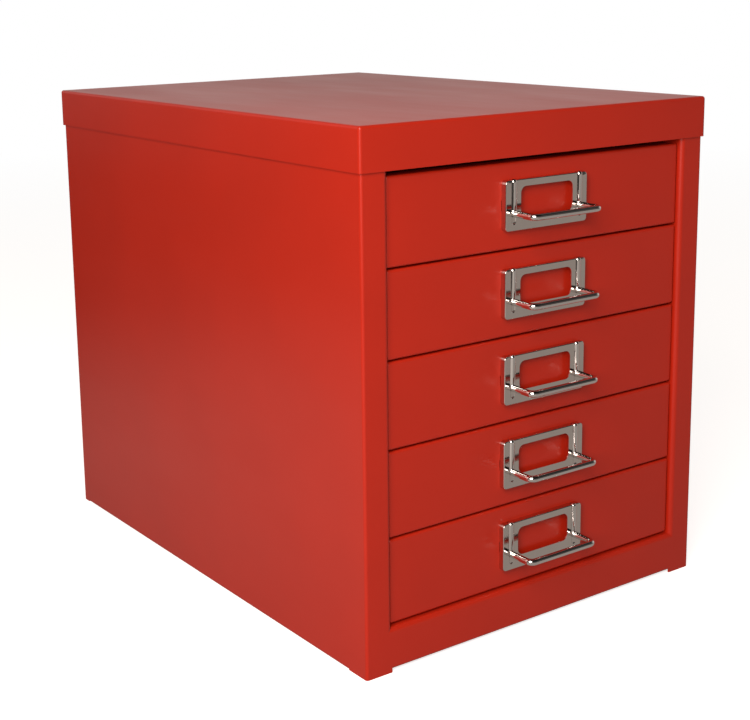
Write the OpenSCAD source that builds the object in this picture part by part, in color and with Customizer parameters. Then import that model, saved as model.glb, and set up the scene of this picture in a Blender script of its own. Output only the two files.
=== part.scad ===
// Desktop drawer cabinet in folded sheet steel: a welded case with a pressed top cap,
// and equal drawers that slide on channel runners, each with a label frame and a wire pull.
// Origin: middle of the overall width and depth, pulls included, on the surface it stands on.
// X points right, Y points back, Z points up. All sizes in millimetres.

/* [Case] */
// Width of the body, without the overhang of the cap
body_w = 276.4; // [270:0.2:320]
// Depth of the body from the posts to the back
body_d = 380; // [376:1:440]
// Sheet thickness of the case
case_t = 1; // [0.8:0.1:1.2]
// Outside radius of the bends at the corners of the case
corner_r = 1.8; // [1.6:0.1:3]
// Height of the skirt round the top cap
cap_skirt = 26.1; // [22:0.1:32]
// Air between the skirt and the body
cap_fit = 0.3; // [0.2:0.1:0.6]
// Width of each front post
post_w = 18.8; // [16:0.2:22]
// Radius of the rolled inner edge of the front frame
lip_r = 3; // [2.2:0.1:4]
// Depth of the front frame behind its face
frame_d = 16; // [15.4:0.2:18]
// Height of the plinth, up to the middle of the gap under the lowest drawer
plinth_h = 28.6; // [20:0.1:40]
// Height of the lower edge of the plinth above the surface
plinth_lift = 2; // [1:0.5:6]
// Width of the flange along the bottom of each side
foot_flange = 12; // [8:0.5:16]
// Width of the flange that holds the back panel
back_flange = 14; // [10:0.5:20]
// Height of the turned-up edges of the base
base_edge = 12; // [8:0.5:20]
// Air left between sheet edges that face each other without touching
edge_gap = 1; // [0.5:0.1:1.4]
// Width of each rear upright along the side
upright_w = 16; // [12:1:20]

/* [Drawers] */
// Number of drawers
drawer_count = 5; // [2:1:6]
// Height from one drawer to the next
pitch = 53.5; // [52.4:0.1:70]
// Gap between two drawer fronts
front_gap = 1.2; // [0.8:0.1:2]
// Gap between a drawer front and a post
side_gap = 0.8; // [0.6:0.1:1.2]
// Height of the dark gap between the top drawer and the cap
head_gap = 3.4; // [2.5:0.1:5]
// How far the drawer fronts lie behind the face of the posts
recess = 3; // [2:0.2:4]
// Sheet thickness of a drawer front
front_t = 1; // [0.8:0.1:1.2]
// Depth of a drawer front with its turned edges
front_d = 11; // [9:0.2:11.2]
// Outside radius of the edges of a drawer front
front_r = 1.5; // [1.3:0.1:2]
// Sheet thickness of a tray
tray_t = 0.8; // [0.6:0.1:1]
// Room between the drawers and the back panel
back_room = 24; // [12:1:60]
// Height of a tray
tray_h = 46; // [38:0.5:47]
// Outside radius of the bends of a tray
tray_r = 2; // [1.5:0.1:4]
// Depth of the flange along the back of a tray
back_lip = 6; // [3:0.5:8]
// Width of the rim that carries a tray on each side
rim_w = 8.2; // [7:0.1:9]
// Height of the folded rim
rim_h = 4; // [3.4:0.1:5]
// How far a drawer slides out before its stop
travel = 280; // [150:5:285]

/* [Runners] */
// Running clearance round a drawer rim
run_fit = 0.3; // [0.2:0.05:0.5]
// Sheet thickness of a runner
runner_t = 1; // [0.8:0.1:1.2]
// Outside bend radius of a runner
runner_r = 1.5; // [1.3:0.1:2]
// Gap between the edge of a runner and the wall of a tray
ledge_gap = 1; // [0.6:0.1:2]
// Radius of the pip that stops a drawer
pip_r = 2; // [1.2:0.1:2.2]
// Length of the glide block behind a rim
glide_l = 8; // [6:0.5:12]
// Length of the tongue that holds a glide in its rim
tongue_l = 16; // [10:1:24]

/* [Label frame] */
// Width of the label frame
plate_w = 66.4; // [64:0.2:80]
// Height of the label frame
plate_h = 30.6; // [29:0.2:36]
// Depth of the label frame in front of the drawer
plate_d = 4; // [3.8:0.1:5]
// Sheet thickness of the label frame
plate_t = 0.8; // [0.6:0.1:1]
// Outside radius of its edges and corners
plate_r = 1.4; // [1.3:0.1:2.4]
// Height of the label frame above the middle of the drawer front
plate_up = 0.7; // [-2:0.1:3]
// Width of the window
window_w = 42.4; // [36:0.2:44]
// Height of the window
window_h = 18.2; // [14:0.2:19]
// Corner radius of the window
window_r = 4; // [2:0.1:6]
// Height of the window above the middle of the frame
window_up = 1.9; // [0:0.1:2.5]
// Width of the clinched tabs
tab_w = 6; // [4:0.5:8]
// Length of a tab behind the tray wall
tab_l = 6; // [4:0.5:9]
// Air round a tab in its slot
tab_fit = 0.2; // [0.1:0.05:0.3]

/* [Pull] */
// Wire diameter of the pull
wire = 3.8; // [3.6:0.1:4.2]
// Distance between the two legs
leg_gap = 53.6; // [52:0.2:54]
// Distance from the label frame to the middle of the grip
reach = 18.1; // [14:0.1:24]
// Radius of the grip corners, at the middle of the wire
grip_r = 3.6; // [3:0.1:6]
// Radius of the bend from leg to arm, at the middle of the wire
elbow_r = 5; // [3:0.1:6]
// How far the arms lie below the middle of the frame
arm_down = 4.9; // [4:0.1:6]
// How far the legs stand out above the frame
leg_out = 0.8; // [0.5:0.1:3]
// How far the middle of a leg stands in front of the frame
leg_stand = 0.6; // [0.3:0.1:1]
// Thickness of the sheet behind a leg, in the pressed groove that holds it
groove_wall = 0.65; // [0.5:0.05:0.8]
// How far a groove reaches below its arm, to the middle of its round end
groove_tail = 6; // [5:0.1:6.5]
// Air between wire and groove
wire_fit = 0.05; // [0.02:0.01:0.1]

/* [Hidden] */
$fn = 48;
PAINT = "#b52e1e";
CHROME = "#b4b2ae";
NYLON = "#e6e4dc";

// Case, worked out from the sizes above
side_x = body_w / 2;
open_w = body_w - 2 * post_w;
pull_stand = plate_d + reach + wire / 2 - recess;
shift_y = (pull_stand - case_t - cap_fit) / 2;
front_y = shift_y - body_d / 2;
back_y = shift_y + body_d / 2;
open_x = open_w / 2;
stack_top = plinth_h + drawer_count * pitch;
side_h = stack_top - front_gap / 2 + head_gap + cap_skirt - case_t;
wall_h = side_h - corner_r + case_t;
cab_w = body_w + 2 * (case_t + cap_fit);
cab_d = body_d + 2 * (case_t + cap_fit);
plinth_top = plinth_h - front_gap / 2;
mitre_z = plinth_top - lip_r;
base_z = plinth_lift + case_t;
panel_y = back_y - 2 * case_t;
foot_r = 1.5 * case_t;
foot_y = front_y + frame_d + 2 * edge_gap;
foot_l = panel_y - 6 * edge_gap - foot_y;

// Drawer, in the frame of its own front: x = 0, y = 0 at the outer face, z = 0 at its lower edge
front_w = open_w - 2 * side_gap;
front_h = pitch - front_gap;
face_y = front_y + recess;
rim_x = front_w / 2;
wall_x = rim_x - rim_w;
tray_l = panel_y - back_room - face_y - front_t;
tray_top = front_t + tray_h;
tray_back = front_t + tray_l;
rim_r = 1.5 * tray_t;
rim_start = front_d + edge_gap;
web_x = open_x + case_t;
glide_out = web_x - run_fit - rim_x;

// Runner, in the same frame
channel_h = rim_h + 2 * run_fit;
channel_z = tray_top - rim_h - run_fit;
channel_y = frame_d - recess + edge_gap;
runner_end = tray_back + run_fit;
upright_y = face_y + runner_end + runner_t - upright_w;
ledge_x = wall_x + ledge_gap;
pip_y = tray_back - glide_l - travel - run_fit - pip_r;
pip_out = web_x - rim_x - run_fit;

// Label frame and pull, with the middle of the drawer front at z = 0
arm_z = -arm_down;
leg_x = leg_gap / 2;
wire_r = wire / 2;
bore_r = wire_r + wire_fit;
groove_r = bore_r + groove_wall;
leg_top = plate_h / 2 + leg_out;
groove_low = arm_z - groove_tail;

sides = ["left", "right"];
drawers = [1:drawer_count];

// ---------- shapes used by several pieces ----------

// Quarter of a bent sheet: outside radius r, thickness t, between +X and +Y
module bend(r, t) {
    intersection() {
        difference() {
            circle(r = r);
            circle(r = r - t);
        }
        square(r);
    }
}

// Rectangle with round corners, centred
module round_rect(w, h, r) {
    square([w - 2 * r, h], center = true);
    square([w, h - 2 * r], center = true);
    for (x = [-1, 1], y = [-1, 1])
        translate([x * (w / 2 - r), y * (h / 2 - r)]) circle(r = r);
}

// Block on z = 0 with round upright edges and a round edge along its top
module soft_block(w, d, h, r) {
    for (x = [-1, 1], y = [-1, 1])
        translate([x * (w / 2 - r), y * (d / 2 - r), 0]) {
            cylinder(r = r, h = h - r);
            translate([0, 0, h - r]) sphere(r = r);
        }
    for (y = [-1, 1])
        translate([0, y * (d / 2 - r), h - r]) rotate([0, 90, 0])
            cylinder(r = r, h = w - 2 * r, center = true);
    for (x = [-1, 1])
        translate([x * (w / 2 - r), 0, h - r]) rotate([90, 0, 0])
            cylinder(r = r, h = d - 2 * r, center = true);
    translate([-w / 2 + r, -d / 2, 0]) cube([w - 2 * r, d, h - r]);
    translate([-w / 2, -d / 2 + r, 0]) cube([w, d - 2 * r, h - r]);
    translate([-w / 2 + r, -d / 2 + r, 0]) cube([w - 2 * r, d - 2 * r, h]);
}

// Pressed pan, open downwards: a soft block with walls of thickness t
module pan(w, d, h, r, t) {
    difference() {
        soft_block(w, d, h, r);
        translate([0, 0, -t]) soft_block(w - 2 * t, d - 2 * t, h, r - t);
    }
}

// Turns a pan so that it opens to the back, with its face at y = 0
module facing_front(d) {
    translate([0, d, 0]) rotate([90, 0, 0]) children();
}

// Puts a part that is drawn for the right side on either side
module on_side(s) {
    mirror([s == "left" ? 1 : 0, 0, 0]) children();
}

// Puts a part of drawer n at its rest place: face at y = 0, lower edge at z = 0
module at_drawer(n) {
    translate([0, face_y, plinth_h + (drawer_count - n) * pitch + front_gap / 2]) children();
}

// ---------- case ----------

module top_cap() {
    color(PAINT) translate([0, shift_y, side_h + case_t - cap_skirt])
        pan(cab_w, cab_d, cap_skirt, corner_r, case_t);
}

// Plan of the right side: wall, front post with its rolled lip, and the flange at the back
module side_plan() {
    translate([side_x - case_t, front_y + corner_r]) square([case_t, body_d - 2 * corner_r]);
    translate([side_x - corner_r, front_y + corner_r]) mirror([0, 1]) bend(corner_r, case_t);
    translate([open_x + lip_r, front_y]) square([side_x - corner_r - open_x - lip_r, case_t]);
    translate([open_x + lip_r, front_y + lip_r]) rotate(180) bend(lip_r, case_t);
    translate([open_x, front_y + lip_r]) square([case_t, frame_d - lip_r]);
    translate([side_x - corner_r, back_y - corner_r]) bend(corner_r, case_t);
    translate([side_x - back_flange, back_y - case_t]) square([back_flange - corner_r, case_t]);
}

// Side panel for the right. The lip stops at the mitre over the plinth, where the face runs flat to
// the plinth. A flange is folded in along the bottom between the corners.
module side_panel() {
    difference() {
        linear_extrude(wall_h) side_plan();
        translate([0, front_y + frame_d + 1, 0]) rotate([90, 0, 0]) linear_extrude(frame_d + 2)
            polygon([[open_x - 1, -1], [open_x + lip_r, -1], [open_x + lip_r, mitre_z],
                     [open_x - 1, mitre_z + lip_r + 1]]);
        translate([side_x - foot_r, foot_y, -1]) cube([foot_r + 1, foot_l, foot_r + 1]);
    }
    translate([open_x, front_y, 0]) cube([lip_r, case_t, mitre_z]);
    translate([side_x - foot_r, foot_y + foot_l, foot_r]) rotate([90, 0, 0])
        linear_extrude(foot_l) mirror([0, 1]) bend(foot_r, case_t);
    translate([side_x - foot_flange, foot_y, 0])
        cube([foot_flange - foot_r, foot_l, case_t]);
}

module left_side() {
    color(PAINT) on_side("left") side_panel();
}

module right_side() {
    color(PAINT) on_side("right") side_panel();
}

module back_panel() {
    w = body_w - 2 * corner_r;
    color(PAINT) translate([-w / 2, panel_y, plinth_lift]) cube([w, case_t, side_h - plinth_lift]);
}

// Base sheet with its side edges turned up against the sides, lying on the plinth's lower return
module base_panel() {
    w = side_x - case_t;
    r = corner_r;
    y0 = front_y + corner_r + edge_gap;
    color(PAINT) translate([0, panel_y, base_z]) rotate([90, 0, 0]) linear_extrude(panel_y - y0) {
        translate([-w + r, 0]) square([2 * (w - r), case_t]);
        for (m = [0, 1]) mirror([m, 0]) {
            translate([w - r, r]) mirror([0, 1]) bend(r, case_t);
            translate([w - case_t, r]) square([case_t, base_edge - r]);
        }
    }
}

// Rail under the drawers, in section: face, rolled upper lip and lower return, cut to meet the posts
module plinth_rail() {
    w = open_x + lip_r;
    color(PAINT) intersection() {
        translate([-w, 0, 0]) rotate([90, 0, 90]) linear_extrude(2 * w) {
            translate([front_y, plinth_lift + corner_r])
                square([case_t, mitre_z - plinth_lift - corner_r]);
            translate([front_y + lip_r, mitre_z]) mirror([1, 0]) bend(lip_r, case_t);
            translate([front_y + lip_r, plinth_top - case_t]) square([frame_d - lip_r, case_t]);
            translate([front_y + corner_r, plinth_lift + corner_r]) rotate(180)
                bend(corner_r, case_t);
            translate([front_y + corner_r, plinth_lift]) square([frame_d - corner_r, case_t]);
        }
        translate([0, front_y + frame_d + 1, 0]) rotate([90, 0, 0]) linear_extrude(frame_d + 2)
            polygon([[-open_x, 0], [open_x, 0], [open_x, mitre_z], [w, mitre_z],
                     [open_x, plinth_top], [-open_x, plinth_top], [-w, mitre_z],
                     [-open_x, mitre_z]]);
    }
}

// Channel behind the skirt that ties the posts and carries the front of the cap
module head_rail() {
    z0 = side_h + case_t - cap_skirt + edge_gap / 2;
    color(PAINT) translate([-open_x, front_y + lip_r, z0]) difference() {
        cube([open_w, frame_d - lip_r, side_h - z0]);
        translate([-1, case_t, case_t])
            cube([open_w + 2, frame_d, side_h - z0 - 2 * case_t]);
    }
}

// Upright channel that carries the rear ends of the runners
module rear_upright() {
    z0 = base_z + base_edge + 2 * edge_gap;
    x0 = web_x + runner_t;
    x1 = side_x - case_t;
    translate([x0, upright_y, z0]) difference() {
        cube([x1 - x0, upright_w, side_h - z0]);
        translate([case_t, case_t, -1])
            cube([x1 - x0 - 2 * case_t, upright_w, side_h - z0 + 2]);
    }
}

module left_rear_upright() {
    color(PAINT) on_side("left") rear_upright();
}

module right_rear_upright() {
    color(PAINT) on_side("right") rear_upright();
}

// Right-hand runner: a channel round the drawer rim, a tongue on the post, a pip that stops the
// glide and a turned end that stops the drawer as it shuts
module runner() {
    depth = web_x + runner_t - ledge_x;
    hgt = channel_h + 2 * runner_t;
    z0 = channel_z - runner_t;
    tongue_y = lip_r - recess + edge_gap;
    translate([ledge_x, runner_end + runner_t, z0]) rotate([90, 0, 0])
        linear_extrude(runner_end + runner_t - channel_y) difference() {
            translate([depth - (depth + runner_r) / 2, hgt / 2])
                round_rect(depth + runner_r, hgt, runner_r);
            translate([depth - runner_t - (depth + 2) / 2, hgt / 2])
                round_rect(depth + 2, channel_h, runner_r - runner_t);
            translate([-depth, -1]) square([depth, hgt + 2]);
        }
    translate([web_x, tongue_y, z0 + runner_r])
        cube([runner_t, channel_y - tongue_y + 1, hgt - 2 * runner_r]);
    translate([ledge_x + 1, runner_end, z0 + runner_t / 2])
        cube([depth - 1 - runner_t / 2, runner_t, hgt - runner_t]);
    translate([web_x - pip_out, pip_y, channel_z + channel_h / 2]) rotate([0, 90, 0])
        cylinder(r = pip_r, h = pip_out + runner_t / 2);
}

// ---------- drawer ----------

// Slots for the two tabs, through anything from y = a to y = b
module tab_slots(a, b) {
    for (m = [0, 1]) mirror([m, 0, 0])
        translate([plate_w / 2 - plate_t - tab_fit, a, front_h / 2 + plate_up - tab_w / 2 - tab_fit])
            cube([plate_t + 2 * tab_fit, b - a, tab_w + 2 * tab_fit]);
}

// Folded front: a shallow pan with its face forward
module drawer_front() {
    color(PAINT) difference() {
        translate([0, 0, front_h / 2]) facing_front(front_d)
            pan(front_w, front_h, front_d, front_r, front_t);
        tab_slots(-1, front_t + 1);
    }
}

// Tray: folded pan with a rim turned out and down along each side, and a flange at the back
module drawer_tray() {
    color(PAINT) {
        difference() {
            translate([0, front_t + tray_l / 2, front_t + tray_h]) mirror([0, 0, 1])
                pan(2 * wall_x, tray_l, tray_h, tray_r, tray_t);
            tab_slots(front_t - 1, front_t + tray_t + 1);
        }
        for (m = [0, 1]) mirror([m, 0, 0])
            translate([wall_x, tray_back - glide_l, tray_top]) rotate([90, 0, 0])
                linear_extrude(tray_back - glide_l - rim_start) {
                    translate([-tray_t, -tray_t]) square([rim_w + tray_t - rim_r, tray_t]);
                    translate([rim_w - rim_r, -rim_r]) bend(rim_r, tray_t);
                    translate([rim_w - tray_t, -rim_h]) square([tray_t, rim_h - rim_r]);
                }
        translate([-wall_x + tray_r, tray_back - tray_t, tray_top - tray_t])
            cube([2 * (wall_x - tray_r), back_lip, tray_t]);
    }
}

// Nylon blocks that end the rims: each fills the runner, and its tongue sits under the rim
module drawer_glides() {
    block = rim_x + glide_out - wall_x;
    color(NYLON) for (m = [0, 1]) mirror([m, 0, 0]) {
        translate([wall_x, tray_back - glide_l, tray_top - rim_h])
            cube([block, glide_l, rim_h]);
        translate([wall_x + 0.2, tray_back - glide_l - tongue_l, tray_top - rim_h])
            cube([rim_w - tray_t - 0.4, tongue_l + 0.1, rim_h - tray_t - 0.1]);
    }
}

// Pressed label frame: window, a groove for each leg of the pull, and a tab at each end
module drawer_label_frame() {
    color(CHROME) translate([0, -plate_d, front_h / 2 + plate_up]) {
        difference() {
            union() {
                facing_front(plate_d) pan(plate_w, plate_h, plate_d, plate_r, plate_t);
                for (x = [-leg_x, leg_x]) translate([x, -leg_stand, 0]) groove_back();
            }
            translate([0, plate_d, window_up]) rotate([90, 0, 0]) linear_extrude(2 * plate_d)
                round_rect(window_w, window_h, window_r);
            for (x = [-leg_x, leg_x]) translate([x, -leg_stand, groove_low]) {
                cylinder(r = bore_r, h = plate_h);
                sphere(r = bore_r);
            }
        }
        for (m = [0, 1]) mirror([m, 0, 0]) translate([plate_w / 2 - plate_t, 0, -tab_w / 2]) {
            translate([0, plate_r, 0])
                cube([plate_t, plate_d - plate_r + front_t + tray_t + plate_t, tab_w]);
            translate([plate_t - tab_l, plate_d + front_t + tray_t, 0])
                cube([tab_l, plate_t, tab_w]);
        }
    }
}

// Back of a groove, as far as it stands out behind the face: round, with a round lower end
module groove_back() {
    intersection() {
        union() {
            translate([0, 0, groove_low])
                cylinder(r = groove_r, h = plate_h / 2 - plate_t - groove_low);
            translate([0, 0, groove_low]) sphere(r = groove_r);
        }
        translate([-groove_r, leg_stand + plate_t / 2, groove_low - groove_r])
            cube([2 * groove_r, groove_r, plate_h]);
    }
}

// Bent wire: two legs with round tips, an elbow under each, two arms, two corners and the grip
module drawer_pull() {
    grip_x = leg_x - grip_r;
    color(CHROME) translate([0, -plate_d, front_h / 2 + plate_up])
        for (m = [0, 1]) mirror([m, 0, 0]) {
            translate([leg_x, -leg_stand, arm_z + elbow_r])
                cylinder(r = wire_r, h = leg_top - arm_z - elbow_r - wire_r);
            translate([leg_x, -leg_stand, leg_top - wire_r]) sphere(r = wire_r);
            translate([leg_x, -leg_stand - elbow_r, arm_z + elbow_r]) rotate([0, 90, 0])
                rotate_extrude(angle = 90) translate([elbow_r, 0]) circle(r = wire_r);
            translate([leg_x, -leg_stand - elbow_r, arm_z]) rotate([90, 0, 0])
                cylinder(r = wire_r, h = reach - leg_stand - elbow_r - grip_r);
            translate([grip_x, -reach + grip_r, arm_z]) rotate(-90)
                rotate_extrude(angle = 90) translate([grip_r, 0]) circle(r = wire_r);
            translate([0, -reach, arm_z]) rotate([0, 90, 0]) cylinder(r = wire_r, h = grip_x);
        }
}

top_cap();
left_side();
right_side();
back_panel();
base_panel();
plinth_rail();
head_rail();
left_rear_upright();
right_rear_upright();
for (n = drawers) {
    for (s = sides)
        color(PAINT) at_drawer(n) on_side(s) runner();
    at_drawer(n) drawer_tray();
    at_drawer(n) drawer_front();
    at_drawer(n) drawer_label_frame();
    at_drawer(n) drawer_pull();
    at_drawer(n) drawer_glides();
}
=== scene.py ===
import math
import bmesh
import bpy
from mathutils import Matrix, Vector


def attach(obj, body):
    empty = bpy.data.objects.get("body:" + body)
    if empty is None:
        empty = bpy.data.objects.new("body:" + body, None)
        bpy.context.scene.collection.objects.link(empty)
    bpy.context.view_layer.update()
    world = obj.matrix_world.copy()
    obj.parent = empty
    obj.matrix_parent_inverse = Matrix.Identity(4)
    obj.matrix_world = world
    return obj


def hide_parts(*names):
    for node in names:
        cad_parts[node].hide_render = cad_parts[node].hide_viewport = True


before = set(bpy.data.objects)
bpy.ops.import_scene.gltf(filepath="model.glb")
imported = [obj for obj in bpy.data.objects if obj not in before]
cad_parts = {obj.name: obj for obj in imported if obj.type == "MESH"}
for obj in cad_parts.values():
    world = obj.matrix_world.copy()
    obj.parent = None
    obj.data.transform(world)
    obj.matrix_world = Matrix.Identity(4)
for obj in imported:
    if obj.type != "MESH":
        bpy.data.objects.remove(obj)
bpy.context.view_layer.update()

# ---------- Top cap ----------
# A lid pressed from sheet steel, with a skirt all round that hides the upper edges of the case. It is
# dipped and stoved in one semi-gloss enamel with the rest, which leaves a faint orange peel and a
# slightly thinner film over the bends.


def hex_colour(code):
    """sRGB hex to the linear colour that shaders take."""
    parts = [int(code[i:i + 2], 16) / 255 for i in (1, 3, 5)]
    return [c / 12.92 if c <= 0.04045 else ((c + 0.055) / 1.055) ** 2.4 for c in parts] + [1.0]


def add(tree, kind, inputs=(), **settings):
    """Adds a node; inputs maps a socket's name or number to a value or to another node's output."""
    made = tree.nodes.new("ShaderNode" + kind)
    for key, value in settings.items():
        setattr(made, key, value)
    for key, value in dict(inputs).items():
        if isinstance(value, bpy.types.NodeSocket):
            tree.links.new(value, made.inputs[key])
        else:
            made.inputs[key].default_value = value
    return made


def new_material(name):
    material = bpy.data.materials.new(name)
    material.use_nodes = True
    material.node_tree.nodes.clear()
    return material, material.node_tree


def output(tree, shader):
    add(tree, "OutputMaterial", {"Surface": shader.outputs[0]})


def dress(material, *names):
    """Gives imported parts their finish."""
    for name in names:
        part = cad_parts[name]
        if not part.material_slots:
            part.data.materials.append(None)
        for place in part.material_slots:
            place.material = material


def enamel(name, colour, gloss, rub):
    """Stoved enamel on steel sheet: colour, orange peel 3 mm across, and a film that varies in gloss."""
    material, tree = new_material(name)
    place = add(tree, "TexCoord").outputs["Object"]
    # flow of the film: soft patches some 60 mm across, with slightly deeper and paler colour
    flow = add(tree, "TexNoise", {"Vector": place, "Scale": 1 / 0.06, "Detail": 2.0, "Roughness": 0.5})
    shade = add(tree, "ValToRGB", {"Fac": flow.outputs["Fac"]})
    deep, pale = hex_colour(colour), [min(1, c * 1.06) for c in hex_colour(colour)[:3]] + [1.0]
    shade.color_ramp.elements[0].position = 0.3
    shade.color_ramp.elements[0].color = deep
    shade.color_ramp.elements[1].position = 0.7
    shade.color_ramp.elements[1].color = pale
    # orange peel, 3 mm from crest to crest, and grit under the film, 0.6 mm
    peel = add(tree, "TexNoise", {"Vector": place, "Scale": 1 / 0.003, "Detail": 1.0, "Roughness": 0.4})
    grit = add(tree, "TexNoise", {"Vector": place, "Scale": 1 / 0.0006, "Detail": 0.0})
    wave = add(tree, "Bump", {"Height": peel.outputs["Fac"], "Strength": 0.06, "Distance": 0.0002})
    bump = add(tree, "Bump", {"Height": grit.outputs["Fac"], "Strength": 0.03, "Distance": 0.0001,
                              "Normal": wave.outputs[0]})
    # handling marks: the gloss drops in faint patches, drawn out along the sheet
    streak = add(tree, "Mapping", {"Vector": place, "Scale": (6.0, 1.5, 6.0)})
    marks = add(tree, "TexNoise", {"Vector": streak.outputs[0], "Scale": 4.0, "Detail": 5.0,
                                   "Roughness": 0.6})
    rough = add(tree, "MapRange", {"Value": marks.outputs["Fac"], "From Min": 0.3, "From Max": 0.7,
                                   "To Min": gloss, "To Max": gloss + rub})
    skin = add(tree, "BsdfPrincipled", {"Base Color": shade.outputs[0], "Roughness": rough.outputs[0],
                                        "IOR": 1.45, "Normal": bump.outputs[0]})
    output(tree, skin)
    return material


case_enamel = enamel("stoved_enamel_red", "#bc2510", 0.30, 0.07)
dress(case_enamel, "top_cap")

# ---------- Sides, back and base ----------
# Each side is one sheet, folded into a post at the front and a flange at the back and below. The back
# and the base are plain sheets welded between them, in the same enamel.

dress(case_enamel, "left_side", "right_side", "back_panel", "base_panel")

# ---------- Front rails ----------
# Rolled steel rails welded between the posts: the plinth under the lowest drawer, and a channel
# behind the skirt of the cap.

dress(case_enamel, "plinth_rail", "head_rail")

# ---------- Runners and rear uprights ----------
# Roll-formed channels spot-welded to the posts and the uprights. The enamel is the same, duller where
# the rims of the drawers rub it.

drawers = range(1, 6)
runner_enamel = enamel("stoved_enamel_rubbed", "#ad220f", 0.38, 0.2)
dress(runner_enamel, "left_rear_upright", "right_rear_upright")
dress(runner_enamel, *[f"{side}_runner_{n}" for n in drawers for side in ("left", "right")])

# ---------- Drawer trays and fronts ----------
# Folded pans in thinner sheet, dipped inside and out. The front is a second pan, welded to the tray
# with its edges turned back.

tray_enamel = enamel("stoved_enamel_tray", "#b3240f", 0.34, 0.12)
for n in drawers:
    dress(tray_enamel, f"drawer_{n}_tray")
    dress(case_enamel, f"drawer_{n}_front")

# ---------- Label frames and pulls ----------
# The frame is pressed from mild steel strip, with a window, two grooves for the legs of the pull and a
# clinched tab on each side. The pull is bent from one steel wire. Both are nickel and chrome plated
# and tumbled bright, which leaves a clear mirror with a faint waviness.

# the pan of the frame: strip, depth, outer corners, rounding of the front edge, and window
sheet = 0.0008
plate_depth = 0.004
corner = 0.0024
crease = 0.0005
window_width, window_height = 0.0424, 0.0182
window_corner = 0.004
window_up = 0.0019
# its tabs: half their height, the depth at which they turn in behind the drawer front, and the length
# of the turned end
tab_half = 0.003
tab_back = plate_depth + 0.0018
tab_turn = 0.006
# the wire: legs from the middle, how far they stand before the face (they lie behind it) and above the
# frame, height of the arms, radii of the bends, and face to middle of the grip
wire_r = 0.0021
leg_x = 0.0268
leg_stand = -0.0007
leg_out = 0.0008
arm_z = -0.0049
elbow_r = 0.0024
grip_r = 0.0036
reach = 0.0179
# the grooves: play round the wire, wall behind it, where they end, and the shallow run-out below
groove_play = 0.00005
groove_wall = 0.0007
groove_end = arm_z - 0.006
groove_tail = 0.0026
runout_r = 0.003
runout_stand = 0.0025
# ends are rounded over nearly the whole radius, since a full one would close in a point
groove_round = 0.98
tip_round = 0.9
# how far cutters reach past what they cut
over = 0.001
past = 0.01
# short stretches at both ends keep the shading of a long one free of the bends
support = 0.0002
# faces larger than 30 square millimetres are shaded flat, and folds over 35 degrees sharp
flat_area = 3e-5
fold = math.radians(35)
# distances that count as none, in a comparison and between vertices
tiny = 1e-6
merge = 1e-7
quarter = math.radians(90)


def plating(name, colour, ripple):
    """Bright chrome plate over steel: a mirror with a soft ripple and a film of handling."""
    material, tree = new_material(name)
    place = add(tree, "TexCoord").outputs["Object"]
    # ripple left by the press and the bending tool, 5 mm from crest to crest
    wave = add(tree, "TexNoise", {"Vector": place, "Scale": 1 / 0.005, "Detail": 1.0})
    bump = add(tree, "Bump", {"Height": wave.outputs["Fac"], "Strength": ripple, "Distance": 0.0002})
    # film of handling, in patches 12 mm across
    film = add(tree, "TexNoise", {"Vector": place, "Scale": 1 / 0.012, "Detail": 4.0, "Roughness": 0.6})
    rough = add(tree, "MapRange", {"Value": film.outputs["Fac"], "From Min": 0.3, "From Max": 0.75,
                                   "To Min": 0.04, "To Max": 0.14})
    tone = add(tree, "MixRGB", {"Fac": film.outputs["Fac"], "Color1": hex_colour(colour),
                                "Color2": [c * 0.93 for c in hex_colour(colour)[:3]] + [1.0]})
    skin = add(tree, "BsdfPrincipled", {"Base Color": tone.outputs[0], "Roughness": rough.outputs[0],
                                        "Metallic": 1.0, "Normal": bump.outputs[0]})
    output(tree, skin)
    return material


def only(kind, items):
    """The vertices or the edges among what a step returns."""
    return [item for item in items if isinstance(item, kind)]


def sheet_solid(width, height, corner, front, back):
    """A solid with rounded corners whose front faces -Y, from one depth to another."""
    bm = bmesh.new()
    bmesh.ops.create_grid(bm, x_segments=1, y_segments=1, size=0.5)
    bmesh.ops.scale(bm, vec=(width, height, 1), verts=bm.verts)
    bmesh.ops.bevel(bm, geom=bm.verts[:], offset=corner, segments=8, profile=0.5, affect="VERTICES",
                    material=-1)
    bmesh.ops.rotate(bm, matrix=Matrix.Rotation(quarter, 3, "X"), verts=bm.verts)
    bmesh.ops.translate(bm, vec=(0, front, 0), verts=bm.verts)
    grown = bmesh.ops.extrude_face_region(bm, geom=bm.faces[:])["geom"]
    bmesh.ops.translate(bm, vec=(0, back - front, 0), verts=only(bmesh.types.BMVert, grown))
    bmesh.ops.recalc_face_normals(bm, faces=bm.faces)
    return bm


def groove_rod(radius, side, stand, low, high):
    """A rod with a rounded lower end, before or behind the face along a leg of the pull."""
    bm = bmesh.new()
    bmesh.ops.create_cone(bm, cap_ends=True, segments=32, radius1=radius, radius2=radius, depth=high - low)
    ring = [e for e in bm.edges if all(v.co.z < 0 for v in e.verts)]
    bmesh.ops.bevel(bm, geom=ring, offset=groove_round * radius, segments=6, profile=0.5, affect="EDGES",
                    material=-1)
    bmesh.ops.translate(bm, vec=(side * leg_x, -stand, (low + high) / 2), verts=bm.verts)
    return bm


def block(low, high):
    """A box between two corners."""
    bm = bmesh.new()
    bmesh.ops.create_cube(bm, size=1)
    bmesh.ops.scale(bm, vec=[b - a for a, b in zip(low, high)], verts=bm.verts)
    bmesh.ops.translate(bm, vec=[(a + b) / 2 for a, b in zip(low, high)], verts=bm.verts)
    return bm


def new_object(name, bm):
    mesh = bpy.data.meshes.new(name)
    bm.to_mesh(mesh)
    bm.free()
    made = bpy.data.objects.new(name, mesh)
    bpy.context.scene.collection.objects.link(made)
    return made


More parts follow.
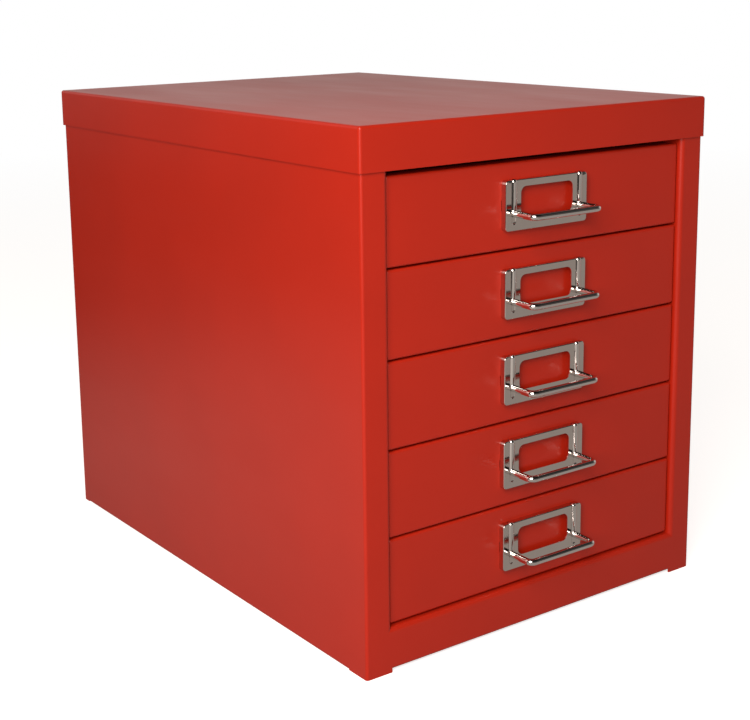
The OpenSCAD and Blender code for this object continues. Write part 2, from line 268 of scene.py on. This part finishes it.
def worked(name, bm, steps):
    """The mesh of a solid after other solids are added to it or cut from it, in turn."""
    base = new_object(name, bm)
    tools = []
    for operation, tool in steps:
        tools.append(new_object(name + "_tool", tool))
        step = base.modifiers.new(operation, "BOOLEAN")
        step.operation = operation
        step.object = tools[-1]
        step.solver = "EXACT"
    seen = base.evaluated_get(bpy.context.evaluated_depsgraph_get())
    mesh = bpy.data.meshes.new_from_object(seen)
    for item in tools + [base]:
        spent = item.data
        bpy.data.objects.remove(item)
        bpy.data.meshes.remove(spent)
    return mesh


def label_plate(width, height):
    """The pressed frame, about the middle of its face."""
    pan = sheet_solid(width, height, corner, 0, plate_depth)
    rim = [e for e in pan.edges if all(abs(v.co.y) < tiny for v in e.verts)]
    bmesh.ops.bevel(pan, geom=rim, offset=crease, segments=3, profile=0.5, affect="EDGES", material=-1)
    hollow = sheet_solid(width - 2 * sheet, height - 2 * sheet, corner - sheet, sheet, past)
    steps = [("DIFFERENCE", hollow)]
    top = height / 2
    for side in (-1, 1):
        # the back of a groove, cut off halfway through the strip
        back = groove_rod(wire_r + groove_wall, side, leg_stand, groove_end - groove_tail, top - sheet / 2)
        whole = back.verts[:] + back.edges[:] + back.faces[:]
        cut = bmesh.ops.bisect_plane(back, geom=whole, plane_co=(0, sheet / 2, 0), plane_no=(0, -1, 0),
                                     clear_outer=True)
        bmesh.ops.contextual_create(back, geom=only(bmesh.types.BMEdge, cut["geom_cut"]))
        steps.append(("UNION", back))
        # a tab: back through the slot of the drawer front, then turned in behind it
        edge = side * width / 2
        inner = edge - side * sheet
        turned = edge - side * tab_turn
        for end, near, far in ((inner, crease * 2, tab_back), (turned, tab_back, tab_back + sheet)):
            low = (min(edge, end), near, -tab_half)
            high = (max(edge, end), far, tab_half)
            steps.append(("UNION", block(low, high)))
    window = sheet_solid(window_width, window_height, window_corner, -past, past)
    bmesh.ops.translate(window, vec=(0, 0, window_up), verts=window.verts)
    steps.append(("DIFFERENCE", window))
    for side in (-1, 1):
        groove = groove_rod(wire_r + groove_play, side, leg_stand, arm_z - wire_r, top + over)
        runout = groove_rod(runout_r, side, runout_stand, groove_end - wire_r, arm_z)
        steps += [("DIFFERENCE", groove), ("DIFFERENCE", runout)]
    return worked("label_plate", pan, steps)


def wire_pull(height):
    """The pull: one wire drawn from the top of a leg round to the top of the other."""
    bm = bmesh.new()
    bmesh.ops.create_circle(bm, segments=24, radius=wire_r, cap_ends=True)
    top = height / 2 + leg_out
    bmesh.ops.translate(bm, vec=(-leg_x, -leg_stand, top), verts=bm.verts)
    ring = bm.edges[:]

    def straight(edges, move, end=support):
        length = Vector(move).length
        for step in (end, length - 2 * end, end) if end else (length,):
            grown = bmesh.ops.extrude_edge_only(bm, edges=edges)["geom"]
            bmesh.ops.translate(bm, vec=step * Vector(move).normalized(),
                                verts=only(bmesh.types.BMVert, grown))
            edges = only(bmesh.types.BMEdge, grown)
        return edges

    def bend(edges, centre, axis):
        turned = bmesh.ops.spin(bm, geom=edges, cent=centre, axis=axis, angle=quarter, steps=8)
        return only(bmesh.types.BMEdge, turned["geom_last"])

    arm_y = -leg_stand - elbow_r
    corner_y = -reach + grip_r
    ring = straight(ring, (0, 0, -wire_r), 0)
    ring = straight(ring, (0, 0, arm_z + elbow_r - top + wire_r))
    ring = bend(ring, (-leg_x, arm_y, arm_z + elbow_r), (-1, 0, 0))
    ring = straight(ring, (0, corner_y - arm_y, 0))
    ring = bend(ring, (-leg_x + grip_r, corner_y, arm_z), (0, 0, 1))
    ring = straight(ring, (2 * (leg_x - grip_r), 0, 0))
    ring = bend(ring, (leg_x - grip_r, corner_y, arm_z), (0, 0, 1))
    ring = straight(ring, (0, arm_y - corner_y, 0))
    ring = bend(ring, (leg_x, arm_y, arm_z + elbow_r), (1, 0, 0))
    ring = straight(ring, (0, 0, top - wire_r - arm_z - elbow_r))
    ring = straight(ring, (0, 0, wire_r), 0)
    bmesh.ops.contextual_create(bm, geom=ring)
    bmesh.ops.remove_doubles(bm, verts=bm.verts, dist=merge)
    bmesh.ops.recalc_face_normals(bm, faces=bm.faces)
    tips = [e for e in bm.edges if all(abs(v.co.z - top) < tiny for v in e.verts)]
    bmesh.ops.bevel(bm, geom=tips, offset=tip_round * wire_r, segments=5, profile=0.5, affect="EDGES",
                    material=-1)
    mesh = bpy.data.meshes.new("wire_pull")
    bm.to_mesh(mesh)
    bm.free()
    return mesh


def place_copy(name, mesh, move, material, body, node):
    """Sets a copy of a mesh at one drawer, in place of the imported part."""
    made = bpy.data.objects.new(name, mesh.copy())
    made.data.transform(Matrix.Translation(move))
    made.data.materials.clear()
    made.data.materials.append(material)
    made.data.shade_smooth()
    made.data.set_sharp_from_angle(angle=fold)
    for face in made.data.polygons:
        face.use_smooth = face.area < flat_area
    bpy.context.scene.collection.objects.link(made)
    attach(made, body)
    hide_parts(node)


frame_chrome = plating("chrome_plate_pressed", "#dcd4cf", 0.06)
wire_chrome = plating("chrome_plate_wire", "#e6e1de", 0.008)
shared = {}
for n in drawers:
    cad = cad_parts[f"drawer_{n}_label_frame"].data.vertices
    low, high = [[pick(v.co[i] for v in cad) for i in range(3)] for pick in (min, max)]
    middle = ((low[0] + high[0]) / 2, low[1], (low[2] + high[2]) / 2)
    if not shared:
        shared["plate"] = label_plate(high[0] - low[0], high[2] - low[2])
        shared["pull"] = wire_pull(high[2] - low[2])
    body = f"drawer_{n}"
    place_copy(f"{body}_label_plate", shared["plate"], middle, frame_chrome, body, f"{body}_label_frame")
    place_copy(f"{body}_wire_pull", shared["pull"], middle, wire_chrome, body, f"{body}_pull")
for spent in shared.values():
    bpy.data.meshes.remove(spent)

# ---------- Glides ----------
# Injection-moulded nylon blocks pushed into the ends of the drawer rims: off-white and slightly
# translucent, polished on the faces that slide.

glide_nylon, tree = new_material("moulded_nylon")
place = add(tree, "TexCoord").outputs["Object"]
flow = add(tree, "TexNoise", {"Vector": place, "Scale": 1 / 0.004, "Detail": 3.0})
tone = add(tree, "MixRGB", {"Fac": flow.outputs["Fac"], "Color1": hex_colour("#e9e6da"),
                            "Color2": hex_colour("#dcd8c8")})
sheen = add(tree, "MapRange", {"Value": flow.outputs["Fac"], "To Min": 0.35, "To Max": 0.55})
skin = add(tree, "BsdfPrincipled", {"Base Color": tone.outputs[0], "Roughness": sheen.outputs[0],
                                    "IOR": 1.53, "Subsurface Weight": 0.15, "Subsurface Scale": 0.002})
output(tree, skin)
for n in drawers:
    dress(glide_nylon, f"drawer_{n}_glides")

# ---------- Floor ----------
# A white sheet that the cabinet stands on. It is white to the eye wherever nothing shades it, and keeps the
# shadow of the cabinet. In reflections it shows a painted glow in place of its lit paper.

paper_width = 12.0
bpy.ops.mesh.primitive_plane_add(size=paper_width)
floor = bpy.context.object
floor.name = "floor_sheet"
floor_paper, tree = new_material("white_paper")
place = add(tree, "TexCoord").outputs["Object"]
away = add(tree, "VectorMath", {0: place}, operation="LENGTH").outputs["Value"]
paper = add(tree, "BsdfDiffuse", {"Color": hex_colour("#e6e2de")})
seen = add(tree, "Emission", {"Color": (1, 1, 1, 1), "Strength": 0.72})
far = add(tree, "Emission", {"Color": (1, 1, 1, 1), "Strength": 1.0})
lit = add(tree, "AddShader", {0: paper.outputs[0], 1: seen.outputs[0]})
fade = add(tree, "MapRange", {"Value": away, "From Min": 0.9, "From Max": 2.6, "To Min": 0.0, "To Max": 1.0})
clear = add(tree, "MixShader", {0: fade.outputs[0], 1: lit.outputs[0], 2: far.outputs[0]})
# in reflections the sheet shows painted light, a glow in place of its lit paper: pale around the cabinet,
# most on the side of the lamp, and ending in the dim room on the left and behind
split = add(tree, "SeparateXYZ", {0: place})
left = add(tree, "MapRange", {"Value": split.outputs["X"], "From Min": -1.1, "From Max": -0.55},
           interpolation_type="SMOOTHSTEP")
back = add(tree, "MapRange", {"Value": split.outputs["Y"], "From Min": 0.95, "From Max": 0.2},
           interpolation_type="SMOOTHSTEP")
edge = add(tree, "Math", {0: left.outputs[0], 1: back.outputs[0]}, operation="MULTIPLY")
painted_glow_peak = add(tree, "MapRange", {"Value": split.outputs["X"], "From Min": -0.35, "From Max": -0.05,
                               "To Min": 0.66, "To Max": 0.37}, interpolation_type="SMOOTHSTEP")
painted_glow_strength = add(tree, "MapRange", {"Value": edge.outputs[0], "To Min": 0.05, "To Max": painted_glow_peak.outputs[0]})
# painted reflection: the glow that glossy rays see on the sheet, standing in for the lamp's light on it
painted_floor_glow = add(tree, "Emission", {"Color": hex_colour("#f7ebe1"), "Strength": painted_glow_strength.outputs[0]})
ray = add(tree, "LightPath")
bounce = add(tree, "BsdfDiffuse", {"Color": hex_colour("#b2aeaa")})
soft = add(tree, "MixShader", {0: ray.outputs["Is Glossy Ray"], 1: bounce.outputs[0], 2: painted_floor_glow.outputs[0]})
both = add(tree, "MixShader", {0: ray.outputs["Is Camera Ray"], 1: soft.outputs[0], 2: clear.outputs[0]})
output(tree, both)
floor.data.materials.append(floor_paper)

# ---------- Studio light ----------
# One soft box close to the front left corner, a little above the cabinet, in a dim room with a pale
# backdrop behind the cabinet. The sheet below throws the light back up.

world = bpy.data.worlds.new("studio")
world.use_nodes = True
bpy.context.scene.world = world
tree = world.node_tree
tree.nodes.clear()
ray = add(tree, "LightPath")
backdrop = add(tree, "Background", {"Color": (1, 1, 1, 1), "Strength": 1.0})
# the backdrop behind and to the right throws light back and shines in the metal, and the room in
# front and above is dim
behind = (0.57, 0.82, 0.0)
towards = add(tree, "TexCoord").outputs["Generated"]
facing = add(tree, "VectorMath", {0: towards, 1: behind}, operation="DOT_PRODUCT").outputs["Value"]
glow = add(tree, "MapRange", {"Value": facing, "From Min": -0.1, "From Max": 0.5,
                              "To Min": 0.07, "To Max": 0.62}, interpolation_type="SMOOTHSTEP")
fill = add(tree, "MapRange", {"Value": facing, "From Min": 0.0, "From Max": 0.8,
                              "To Min": 0.19, "To Max": 0.55}, interpolation_type="SMOOTHSTEP")
ambient = add(tree, "Background", {"Color": hex_colour("#fff8f2"), "Strength": fill.outputs[0]})
height = add(tree, "SeparateXYZ", {0: towards}).outputs["Z"]
under = add(tree, "MapRange", {"Value": height, "From Min": 0.35, "From Max": 0.6,
                               "To Min": 1.0, "To Max": 0.12}, interpolation_type="SMOOTHSTEP")
dim = add(tree, "Math", {0: glow.outputs[0], 1: under.outputs[0]}, operation="MULTIPLY")
room = add(tree, "Background", {"Color": hex_colour("#fff9f3"), "Strength": dim.outputs[0]})
unseen = add(tree, "MixShader", {0: ray.outputs["Is Glossy Ray"], 1: ambient.outputs[0], 2: room.outputs[0]})
studio_light = add(tree, "MixShader", {0: ray.outputs["Is Camera Ray"],
                                       1: unseen.outputs[0], 2: backdrop.outputs[0]})
add(tree, "OutputWorld", {"Surface": studio_light.outputs[0]})


def soft_box(name, place, target, size, power, colour):
    """A rectangular lamp in metres and watts, turned to a point."""
    lamp = bpy.data.lights.new(name, "AREA")
    lamp.shape = "RECTANGLE"
    lamp.size, lamp.size_y = size
    lamp.energy = power
    lamp.color = hex_colour(colour)[:3]
    holder = bpy.data.objects.new(name, lamp)
    bpy.context.scene.collection.objects.link(holder)
    holder.location = place
    holder.rotation_euler = (Vector(target) - Vector(place)).to_track_quat("-Z", "Y").to_euler()


soft_box("key_box", place=(-0.81, -0.74, 0.68), target=(-0.05, -0.05, 0.18), size=(0.6, 0.75), power=14.1,
         colour="#fff8f0")

# ---------- Camera ----------
# A medium lens ahead of the front left corner, a little above the cabinet and looking down on it.

lens = bpy.data.cameras.new("camera")
lens.sensor_width = 36.0
lens.lens = 67.885
lens.shift_x = 0.05018
lens.shift_y = -0.12471
lens.clip_start = 0.01
viewer = bpy.data.objects.new("camera", lens)
bpy.context.scene.collection.objects.link(viewer)
heading, down, roll = -35.066, 11.303, -0.962
turn = (Matrix.Rotation(math.radians(heading), 4, "Z") @ Matrix.Rotation(math.radians(90 - down), 4, "X")
        @ Matrix.Rotation(math.radians(roll), 4, "Z"))
stand = (-0.587548, -0.797225, 0.400406)
viewer.matrix_world = Matrix.Translation(stand) @ turn
bpy.context.scene.camera = viewer

bpy.context.scene.view_settings.view_transform = "Standard"
